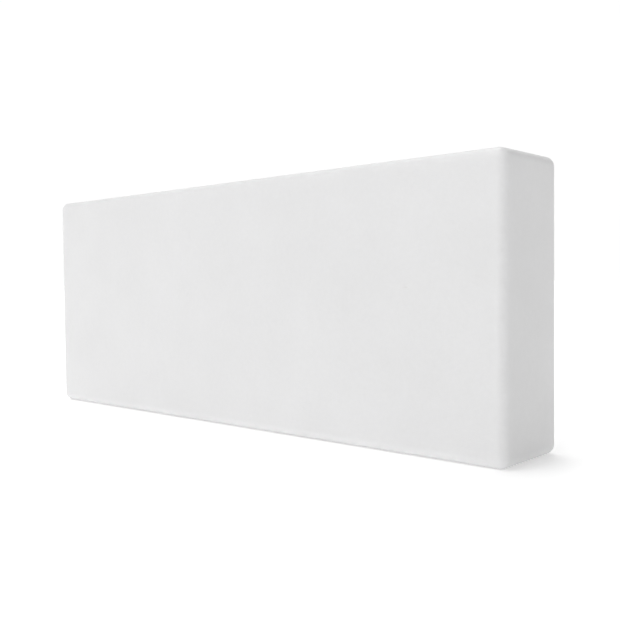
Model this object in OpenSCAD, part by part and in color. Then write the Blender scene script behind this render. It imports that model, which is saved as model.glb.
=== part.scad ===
// Gymnastics chalk block: one solid bar of pressed magnesium carbonate.
// It stands on one of its two long narrow faces, with +X along its length,
// +Y through its thickness and +Z up. The origin is the middle of the face it stands on.

/* [Block] */
// Length, from end face to end face
block_length = 126; // [60:1:200]
// Height, from the narrow face it stands on to the one on top
block_height = 50; // [30:1:80]
// Thickness, between the two broad faces
block_thickness = 18; // [12:0.5:40]

/* [Edges] */
// Radius of the rounding along every edge and round every corner
edge_radius = 1.8; // [0.5:0.1:4]

/* [Hidden] */
$fn = 96;

// Signs of X and Y in the four quadrants, counted anticlockwise
QUADRANTS = [[1, 1], [-1, 1], [-1, -1], [1, -1]];

// Its children, drawn in the first quadrant, at the four corners of a rectangle centred on
// the Z axis, each turned to face outwards
module at_corners(half_x, half_y) {
    for (i = [0:3])
        translate([QUADRANTS[i].x * half_x, QUADRANTS[i].y * half_y, 0])
            rotate([0, 0, 90 * i])
                children();
}

// The roundings of four parallel edges: quarter cylinders along Z
module edge_roundings(half_x, half_y, length, radius) {
    at_corners(half_x, half_y)
        translate([0, 0, -length / 2])
            rotate_extrude(angle = 90)
                square([radius, length]);
}

// The roundings of the four corners at the top: eighths of a sphere
module corner_roundings(half_x, half_y, half_z, radius) {
    translate([0, 0, half_z])
        at_corners(half_x, half_y)
            rotate_extrude(angle = 90)
                intersection() {
                    circle(r = radius);
                    square(radius);
                }
}

// A bar centred on the origin with every edge and corner rounded to one radius. Three boxes
// that cross make the flat faces, and the roundings fill in between them.
module rounded_bar(length, thickness, height, radius) {
    // Half the distance between the centre lines of opposite roundings
    dx = length / 2 - radius;
    dy = thickness / 2 - radius;
    dz = height / 2 - radius;

    cube([length, 2 * dy, 2 * dz], center = true);
    cube([2 * dx, thickness, 2 * dz], center = true);
    cube([2 * dx, 2 * dy, height], center = true);

    edge_roundings(dx, dy, 2 * dz, radius);
    rotate([0, 90, 0])
        edge_roundings(dz, dy, 2 * dx, radius);
    rotate([90, 0, 0])
        edge_roundings(dx, dz, 2 * dy, radius);

    for (turn = [0, 180])
        rotate([turn, 0, 0])
            corner_roundings(dx, dy, dz, radius);
}

module chalk_block() {
    color("whitesmoke")
        translate([0, 0, block_height / 2])
            rounded_bar(block_length, block_thickness, block_height, edge_radius);
}

chalk_block();
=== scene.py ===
import math
import random

import bmesh
import bpy
from mathutils import Matrix, Vector, kdtree, noise


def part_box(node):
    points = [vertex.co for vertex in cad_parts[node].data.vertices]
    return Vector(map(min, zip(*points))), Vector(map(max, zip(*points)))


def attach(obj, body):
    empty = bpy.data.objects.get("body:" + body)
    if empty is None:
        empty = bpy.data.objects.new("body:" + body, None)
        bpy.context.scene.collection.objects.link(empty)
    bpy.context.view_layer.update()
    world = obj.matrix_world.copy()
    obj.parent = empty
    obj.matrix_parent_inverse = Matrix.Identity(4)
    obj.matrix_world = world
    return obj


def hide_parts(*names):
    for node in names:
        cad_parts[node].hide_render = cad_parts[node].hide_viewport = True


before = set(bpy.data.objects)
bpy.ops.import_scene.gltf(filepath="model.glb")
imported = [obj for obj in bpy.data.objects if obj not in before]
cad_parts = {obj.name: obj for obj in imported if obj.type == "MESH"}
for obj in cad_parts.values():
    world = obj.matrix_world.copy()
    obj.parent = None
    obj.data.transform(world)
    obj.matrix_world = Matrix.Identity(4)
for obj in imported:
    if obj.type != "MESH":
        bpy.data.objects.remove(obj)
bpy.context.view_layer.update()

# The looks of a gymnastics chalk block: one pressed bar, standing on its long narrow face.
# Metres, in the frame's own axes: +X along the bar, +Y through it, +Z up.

MM = 0.001

# The bar, from the frame
NODE = "chalk_block"
LOW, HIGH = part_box(NODE)
LENGTH, THICKNESS, HEIGHT = HIGH - LOW
CENTRE = (LOW + HIGH) / 2
TOUCHING = 0.001 * MM           # closer than this is the same place

# The mesh
FACE_STEP = 0.7 * MM            # spacing of the mesh on the flat faces
HALF_ARC = 45                   # degrees: a rounded edge turns twice this
ARC_STEPS = 5                   # rings of mesh in that half
MARK_CUTS = 3                   # how often the mesh is halved round a mark
EDGE_LAYER, PAINTED_SHADE_LAYER = "edge", "mark"     # tell the material where these are, from 0 to 1: the rounding, and the painted shade in pits, chips and the grain's dent

# What pressing and handling leave on the surface, as depths under the CAD bar
SKIN_DEPTH = 0.02 * MM          # all over, which leaves room for a raised crumb
WAVE_LENGTH = 21 * MM           # the faces are very slightly uneven
WAVE_DEPTH = 0.03 * MM
WEAR_LENGTH = 1.6 * MM          # the rounded edges have lost a little powder here and there
WEAR_DEPTH = 0.06 * MM

# Pits and chips: the way out of each face or edge that has them, and how many it has.
# The front face, the near end and the edges round them have none.
MARKS_ON = {(0, 1, 0): 16, (0, 0, 1): 7, (0, 0, -1): 6, (-1, 0, 0): 4,
            (0, 1, 1): 7, (0, 1, -1): 5, (-1, 1, 0): 3, (-1, 0, 1): 1, (-1, 0, -1): 2}
# Half of their width, from and to, and their depth as a share of that: pits lie on faces,
# and chips on edges
PIT_HALF_WIDTHS, PIT_DEPTH_SHARE = (0.12 * MM, 0.35 * MM), 0.3
CHIP_HALF_WIDTHS, CHIP_DEPTH_SHARE = (0.35 * MM, 0.8 * MM), 0.32
LONGEST = 2.2                   # the length of the longest marks, in their own widths
CRUMB_LENGTH = 0.3 * MM         # lumps in a mark's outline
RAGGED = 0.5                    # how strongly they show: 0 leaves a smooth outline
STEEPNESS = 1.5                 # of a mark's sides: 1 is a bowl, and more has a gentler rim
MARK_REACH = 1.6                # how far a ragged mark may reach, in its own half lengths

# The grain in the front face: a small raised crumb, with a dent under it
GRAIN_ALONG, GRAIN_UP = 0.853, 0.568        # shares of the length and the height
GRAIN_HALF_LENGTH, GRAIN_HALF_WIDTH = 0.6 * MM, 0.16 * MM
GRAIN_DENT, GRAIN_RISE = 0.07 * MM, 0.018 * MM
GRAIN_GAP = 1.5 * GRAIN_HALF_WIDTH          # from the middle of the dent up to the crumb's

random.seed(52)


# The shape

def edge_radius():
    """The radius of the CAD bar's rounded edges: how far its top face stops short of its end."""
    corners = [v.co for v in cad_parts[NODE].data.vertices]
    top = [c for c in corners if c.z > HIGH.z - TOUCHING]
    return HIGH.x - max(c.x for c in top)


RADIUS = edge_radius()
HALF = Vector((LENGTH, THICKNESS, HEIGHT)) / 2


def places_along(half):
    """Where the mesh lines cross one axis. Past the flat they are spaced so that, pushed out
    onto the rounding, they are evenly spread round it."""
    flat = half - RADIUS
    steps = round(2 * flat / FACE_STEP)
    middle = [-flat + 2 * flat * i / steps for i in range(steps + 1)]
    arc = [RADIUS * math.tan(math.radians(HALF_ARC * i / ARC_STEPS))
           for i in range(1, ARC_STEPS + 1)]
    return [-flat - a for a in reversed(arc)] + middle + [flat + a for a in arc]


def on_rounded_bar(point):
    """A point near the bar, moved onto its rounded surface, and the way out there.
    Points here are counted from the middle of the bar."""
    inner = Vector(max(-h + RADIUS, min(h - RADIUS, p)) for p, h in zip(point, HALF))
    out = (point - inner).normalized()
    return inner + RADIUS * out, out


def rounding_share(out):
    """0 on a flat face, 1 half-way round an edge and at a corner."""
    half_way = math.cos(math.radians(HALF_ARC))
    return min(1.0, (1 - max(abs(c) for c in out)) / (1 - half_way))


class Mark:
    """A pit, a chip or, with a depth below zero, a crumb standing out."""

    def __init__(self, centre, along, half_length, half_width, depth):
        self.centre, self.along = centre, along
        self.half_length, self.half_width, self.depth = half_length, half_width, depth

    def share(self, point):
        """0 outside the mark, 1 at its middle."""
        away = point - self.centre
        lengthways = away.dot(self.along)
        sideways_squared = away.length_squared - lengthways ** 2
        span = (lengthways / self.half_length) ** 2 + sideways_squared / self.half_width ** 2
        outline = 1 + RAGGED * noise.noise(point / CRUMB_LENGTH)
        return max(0.0, 1 - span * outline) ** STEEPNESS


def random_mark(side):
    """A mark at a random place on a face (side has one number that isn't 0) or an edge (two)."""
    out = Vector(side).normalized()
    centre = Vector(s * (h - RADIUS) if s else random.uniform(RADIUS - h, h - RADIUS)
                    for s, h in zip(side, HALF)) + RADIUS * out
    along = out.cross(Vector(random.uniform(-1, 1) for _ in range(3))).normalized()
    if sum(map(abs, side)) == 1:
        half_widths, depth_share = PIT_HALF_WIDTHS, PIT_DEPTH_SHARE
    else:
        half_widths, depth_share = CHIP_HALF_WIDTHS, CHIP_DEPTH_SHARE
    half_width = random.uniform(*half_widths)
    half_length = half_width * random.uniform(1, LONGEST)
    return Mark(centre, along, half_length, half_width, half_width * depth_share)


def grain_marks():
    """The dent and the raised crumb of the grain."""
    dent = Vector(((GRAIN_ALONG - 0.5) * LENGTH, -HALF.y, (GRAIN_UP - 0.5) * HEIGHT))
    crumb = dent + Vector((0, 0, GRAIN_GAP))
    along = Vector((1, 0, 0))
    return [Mark(dent, along, GRAIN_HALF_LENGTH, GRAIN_HALF_WIDTH, GRAIN_DENT),
            Mark(crumb, along, GRAIN_HALF_LENGTH, GRAIN_HALF_WIDTH, -GRAIN_RISE)]


class Marks:
    """All the marks on the bar, found by place."""

    def __init__(self):
        self.marks = [random_mark(side) for side, count in MARKS_ON.items() for _ in range(count)]
        self.marks += grain_marks()
        self.reach = MARK_REACH * max(mark.half_length for mark in self.marks)
        self.tree = kdtree.KDTree(len(self.marks))
        for i, mark in enumerate(self.marks):
            self.tree.insert(mark.centre, i)
        self.tree.balance()

    def near(self, point):
        """The marks that may reach a point."""
        found = self.tree.find_range(point, self.reach)
        return [self.marks[i] for _, i, distance in found
                if distance < MARK_REACH * self.marks[i].half_length]


def lattice():
    """The CAD bar's surface as one closed skin of quads."""
    lines = [places_along(h) for h in HALF]
    last = [len(line) - 1 for line in lines]
    bm = bmesh.new()
    verts = {}

    def vert(*cell):
        """The mesh's one vertex at a crossing of its lines."""
        if cell not in verts:
            place, _ = on_rounded_bar(Vector(line[i] for line, i in zip(lines, cell)))
            verts[cell] = bm.verts.new(place)
        return verts[cell]

    def quad(axis, side, a, b):
        """One quad of the face across an axis, with its corners anticlockwise from outside."""
        corners = [(a, b), (a + 1, b), (a + 1, b + 1), (a, b + 1)]
        if side == 0:
            corners.reverse()
        ring = []
        for u, v in corners:
            cell = {axis: side, (axis + 1) % 3: u, (axis + 2) % 3: v}
            ring.append(vert(cell[0], cell[1], cell[2]))
        bm.faces.new(ring)

    for axis in range(3):
        for side in (0, last[axis]):
            for a in range(last[(axis + 1) % 3]):
                for b in range(last[(axis + 2) % 3]):
                    quad(axis, side, a, b)
    return bm


def refine(bm, marks):
    """Make the mesh finer round the marks."""
    for _ in range(MARK_CUTS):
        edges = [e for e in bm.edges if marks.near((e.verts[0].co + e.verts[1].co) / 2)]
        bmesh.ops.subdivide_edges(bm, edges=edges, cuts=1, use_grid_fill=True)


def wear_down(bm, marks):
    """Sink each vertex to its own depth, and move the mesh to its place in the frame."""
    edge_layer = bm.verts.layers.float.new(EDGE_LAYER)
    painted_shade_layer = bm.verts.layers.float.new(PAINTED_SHADE_LAYER)
    for v in bm.verts:
        place, out = on_rounded_bar(v.co)
        rounding = rounding_share(out)
        wave = 0.5 + 0.5 * noise.noise(place / WAVE_LENGTH)
        wear = max(0.0, noise.noise(place / WEAR_LENGTH)) * rounding
        depth = SKIN_DEPTH + WAVE_DEPTH * wave + WEAR_DEPTH * wear
        for mark in marks.near(place):
            share = mark.share(place)
            depth += mark.depth * share
            # pits, chips and the grain's dent get painted shade in their colour, strongest at
            # their middle
            if mark.depth > 0:
                v[painted_shade_layer] = max(v[painted_shade_layer], share)
        v[edge_layer] = rounding
        v.co = CENTRE + place - out * depth


def add_object(name, bm):
    """Put a finished mesh into the scene."""
    mesh = bpy.data.meshes.new(name)
    bm.to_mesh(mesh)
    bm.free()
    made = bpy.data.objects.new(name, mesh)
    bpy.context.scene.collection.objects.link(made)
    return made


def build_bar():
    """The whole bar, smooth-shaded."""
    marks = Marks()
    bm = lattice()
    refine(bm, marks)
    wear_down(bm, marks)
    for face in bm.faces:
        face.smooth = True
    return add_object("pressed_chalk", bm)


# Materials

class Nodes:
    """A short way to build a node tree."""

    def __init__(self, tree):
        self.tree = tree
        tree.nodes.clear()

    def add(self, kind, **settings):
        """A new node with these settings."""
        node = self.tree.nodes.new(kind)
        for name, value in settings.items():
            setattr(node, name, value)
        return node

    def link(self, out_socket, in_socket):
        self.tree.links.new(out_socket, in_socket)

    def math(self, operation, *values):
        """A maths node. Each value is a number or the socket it comes from."""
        node = self.add("ShaderNodeMath", operation=operation)
        for value, socket in zip(values, node.inputs):
            if isinstance(value, (int, float)):
                socket.default_value = value
            else:
                self.link(value, socket)
        return node.outputs["Value"]

    def noise(self, where, size, detail):
        """Noise between 0 and 1 in lumps of a size in metres."""
        node = self.add("ShaderNodeTexNoise")
        node.inputs["Scale"].default_value = 1 / size
        node.inputs["Detail"].default_value = detail
        self.link(where, node.inputs["Vector"])
        return node.outputs["Fac"]

    def between(self, value, low, high, first, last, smooth=False):
        """A value from low to high, turned into one from first to last."""
        node = self.add("ShaderNodeMapRange")
        if smooth:
            node.interpolation_type = "SMOOTHSTEP"
        for name, number in zip(("From Min", "From Max", "To Min", "To Max"),
                                (low, high, first, last)):
            node.inputs[name].default_value = number
        self.link(value, node.inputs["Value"])
        return node.outputs["Result"]

    def attribute(self, name):
        """The number that one of the mesh's layers holds."""
        return self.add("ShaderNodeAttribute", attribute_name=name).outputs["Fac"]

    def end_in(self, kind, out_socket):
        """Give the tree its output node, which shows this socket."""
        self.link(out_socket, self.add(kind).inputs["Surface"])


def new_material(name):
    """A material, and the empty node tree that it gets."""
    material = bpy.data.materials.new(name)
    material.use_nodes = True
    return material, Nodes(material.node_tree)


# The chalk itself, up close
CHALK_LOW, CHALK_HIGH = (0.697, 0.696, 0.698, 1), (0.725, 0.724, 0.727, 1)
CLOUD_SIZE, SPECK_SIZE, POWDER_SIZE = 12 * MM, 0.8 * MM, 0.18 * MM
CLOUD_SHARE, SPECK_SHARE, POWDER_SHARE = 0.5, 0.25, 0.25
COMMON_LOW, COMMON_HIGH = 0.35, 0.65        # most of a noise lies between these
DUST_SIZE = 1.3 * MM            # dust lies on the rounded edges, in patches of this size
DUST_NONE, DUST_FULL = 0.4, 0.65            # the noise at which it starts, and is complete
POWDER_HEIGHT = 0.03 * MM       # of the grain, as bump
SPECK_HEIGHT_SHARE = 0.4        # of that, for the specks
SATIN, MATTE, DUSTY = 0.40, 0.50, 0.20      # roughness: where rubbed, where not, added by dust
RUBBED_SIZE = 3.2 * MM          # of the patches that are rubbed or not
PAINTED_PIT_SHADE = 0.045               # painted shade: pits, chips and the grain's dent are this much darker at their middle
SINK_DEPTH = 1.2 * MM           # how far light spreads inside
SINK_BY_COLOUR = (1.0, 1.0, 1.0)            # alike for red, green and blue


def chalk_material():
    """Pressed powder: a fine matte grain, faint cloudiness, dusty edges, light sinking in, and
    painted shade in the pits and chips.
    """
    material, nodes = new_material("chalk")
    where = nodes.add("ShaderNodeTexCoord").outputs["Object"]
    clouds = nodes.noise(where, CLOUD_SIZE, 3)
    specks = nodes.noise(where, SPECK_SIZE, 1)
    powder = nodes.noise(where, POWDER_SIZE, 2)
    patches = nodes.between(nodes.noise(where, DUST_SIZE, 3), DUST_NONE, DUST_FULL, 0, 1)
    dust = nodes.math("MULTIPLY", patches, nodes.attribute(EDGE_LAYER))

    tone = nodes.math("MULTIPLY", clouds, CLOUD_SHARE)
    tone = nodes.math("MULTIPLY_ADD", specks, SPECK_SHARE, tone)
    tone = nodes.math("MULTIPLY_ADD", powder, POWDER_SHARE, tone)
    tone = nodes.math("ADD", nodes.between(tone, COMMON_LOW, COMMON_HIGH, 0, 1), dust)
    colour = nodes.add("ShaderNodeValToRGB")
    colour.color_ramp.elements[0].color = CHALK_LOW
    colour.color_ramp.elements[1].color = CHALK_HIGH
    nodes.link(tone, colour.inputs["Fac"])
    # painted shade: the colour is darker in pits, chips and the grain's dent
    shade = nodes.math("MULTIPLY_ADD", nodes.attribute(PAINTED_SHADE_LAYER), -PAINTED_PIT_SHADE, 1.0)
    shaded = nodes.add("ShaderNodeVectorMath", operation="SCALE")
    nodes.link(colour.outputs["Color"], shaded.inputs["Vector"])
    nodes.link(shade, shaded.inputs["Scale"])

    rubbed = nodes.noise(where, RUBBED_SIZE, 3)
    roughness = nodes.between(rubbed, COMMON_LOW, COMMON_HIGH, SATIN, MATTE)
    roughness = nodes.math("MULTIPLY_ADD", dust, DUSTY, roughness)

    height = nodes.math("MULTIPLY_ADD", specks, SPECK_HEIGHT_SHARE, powder)
    bump = nodes.add("ShaderNodeBump")
    bump.inputs["Strength"].default_value = 1.0
    bump.inputs["Distance"].default_value = POWDER_HEIGHT
    nodes.link(height, bump.inputs["Height"])

    shader = nodes.add("ShaderNodeBsdfPrincipled")
    shader.inputs["Subsurface Weight"].default_value = 1.0
    shader.inputs["Subsurface Radius"].default_value = SINK_BY_COLOUR
    shader.inputs["Subsurface Scale"].default_value = SINK_DEPTH
    nodes.link(shaded.outputs["Vector"], shader.inputs["Base Color"])
    nodes.link(roughness, shader.inputs["Roughness"])
    nodes.link(bump.outputs["Normal"], shader.inputs["Normal"])
    nodes.end_in("ShaderNodeOutputMaterial", shader.outputs["BSDF"])
    return material


# Studio

FLOOR_SIZE = 20.0               # metres
FLOOR_COLOUR = (0.9, 0.9, 0.9, 1)
FLOOR_GLOW = 0.272              # light that the white floor gives off itself
ROOM_GREY, ROOM_WHITE = 0.25, 1.02          # how bright the room is overhead, and where white
BACKDROP_AZIMUTH = 222.4        # behind the bar, as the camera sees it
BACKDROP_WHITE, BACKDROP_FADED = 34, 60     # degrees from its middle
HORIZON_WHITE, HORIZON_FADED = 8, 24        # degrees up


def floor_material():
    """Matt white that glows a little."""
    material, nodes = new_material("white_floor")
    surface = nodes.add("ShaderNodeBsdfDiffuse")
    surface.inputs["Color"].default_value = FLOOR_COLOUR
    glow = nodes.add("ShaderNodeEmission")
    glow.inputs["Strength"].default_value = FLOOR_GLOW
    both = nodes.add("ShaderNodeAddShader")
    nodes.link(surface.outputs["BSDF"], both.inputs[0])
    nodes.link(glow.outputs["Emission"], both.inputs[1])
    nodes.end_in("ShaderNodeOutputMaterial", both.outputs["Shader"])
    return material


def build_floor():
    """A wide floor under the CAD bar."""
    bm = bmesh.new()
    bmesh.ops.create_grid(bm, x_segments=2, y_segments=2, size=FLOOR_SIZE / 2)
    floor = add_object("floor", bm)
    floor.location = (0, 0, LOW.z)
    floor.data.materials.append(floor_material())


def direction(azimuth, elevation):
    """From the bar towards an azimuth, where 0 is in front (-Y) and 90 is at its +X end."""
    a, e = math.radians(azimuth), math.radians(elevation)
    return Vector((math.sin(a) * math.cos(e), -math.cos(a) * math.cos(e), math.sin(e)))


def add_softbox(name, azimuth, elevation, width, strength):
    """A soft, round, very distant light that looks width degrees across. Its strength is how
    bright it makes a white card that faces it."""
    data = bpy.data.lights.new(name, "SUN")
    data.angle = math.radians(width)
    data.energy = math.pi * strength
    lamp = bpy.data.objects.new(name, data)
    lamp.rotation_mode = "QUATERNION"
    lamp.rotation_quaternion = direction(azimuth, elevation).to_track_quat("Z", "Y")
    bpy.context.scene.collection.objects.link(lamp)


def build_world():
    """Grey overhead, white low down all round, and a big round patch of white behind the bar."""
    world = bpy.data.worlds.new("studio")
    world.use_nodes = True
    nodes = Nodes(world.node_tree)
    where = nodes.add("ShaderNodeTexCoord").outputs["Generated"]
    towards = nodes.add("ShaderNodeVectorMath", operation="DOT_PRODUCT")
    towards.inputs[1].default_value = direction(BACKDROP_AZIMUTH, 0)
    nodes.link(where, towards.inputs[0])
    behind = nodes.between(towards.outputs["Value"], math.cos(math.radians(BACKDROP_FADED)),
                           math.cos(math.radians(BACKDROP_WHITE)), 0, 1, smooth=True)
    up = nodes.add("ShaderNodeSeparateXYZ")
    nodes.link(where, up.inputs["Vector"])
    low = nodes.between(up.outputs["Z"], math.sin(math.radians(HORIZON_WHITE)),
                        math.sin(math.radians(HORIZON_FADED)), 1, 0, smooth=True)
    white = nodes.math("MAXIMUM", behind, low)
    strength = nodes.math("MULTIPLY_ADD", white, ROOM_WHITE - ROOM_GREY, ROOM_GREY)
    background = nodes.add("ShaderNodeBackground")
    background.inputs["Color"].default_value = (1, 1, 1, 1)
    nodes.link(strength, background.inputs["Strength"])
    nodes.end_in("ShaderNodeOutputWorld", background.outputs["Background"])
    bpy.context.scene.world = world


# Camera: it stands close to the near end, low down, and looks along the bar.
# Its place is counted from the near bottom corner, in bar heights, and its turns in degrees.
CAMERA_OFFSET = Vector((1.238, -2.234, 0.594))
CAMERA_YAW, CAMERA_PITCH, CAMERA_ROLL = 42.39, -2.05, -0.61
SENSOR, LENS = 36.0, 47.54      # mm
NEAREST, FARTHEST = 0.01, 100   # metres: what the camera can see


def build_camera():
    """The camera, turned by its yaw from looking along +Y, and then by its pitch and roll."""
    yaw, pitch, roll = (math.radians(a) for a in (CAMERA_YAW, CAMERA_PITCH, CAMERA_ROLL))
    ahead = Vector((-math.sin(yaw) * math.cos(pitch), math.cos(yaw) * math.cos(pitch),
                    math.sin(pitch)))
    right = Vector((math.cos(yaw), math.sin(yaw), 0))
    level = Matrix((right, right.cross(ahead), -ahead)).transposed()
    turned = Matrix.Rotation(roll, 3, -ahead) @ level
    data = bpy.data.cameras.new("camera")
    data.sensor_width, data.lens = SENSOR, LENS
    data.clip_start, data.clip_end = NEAREST, FARTHEST
    camera = bpy.data.objects.new("camera", data)
    near_corner = Vector((HIGH.x, LOW.y, LOW.z))
    place = near_corner + CAMERA_OFFSET * HEIGHT
    camera.matrix_world = Matrix.Translation(place) @ turned.to_4x4()
    bpy.context.scene.collection.objects.link(camera)
    bpy.context.scene.camera = camera


build_camera()
build_floor()
build_world()
add_softbox("top_front", azimuth=315, elevation=72, width=30, strength=0.179)
add_softbox("top_back", azimuth=225, elevation=72, width=30, strength=0.266)
add_softbox("front_left", azimuth=325, elevation=32, width=46, strength=0.139)
add_softbox("front_high", azimuth=0, elevation=55, width=40, strength=0.073)
add_softbox("front", azimuth=0, elevation=25, width=36, strength=0.135)

bar = build_bar()
bar.data.materials.append(chalk_material())
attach(bar, "root")
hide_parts(NODE)

bpy.context.scene.view_settings.view_transform = "Standard"
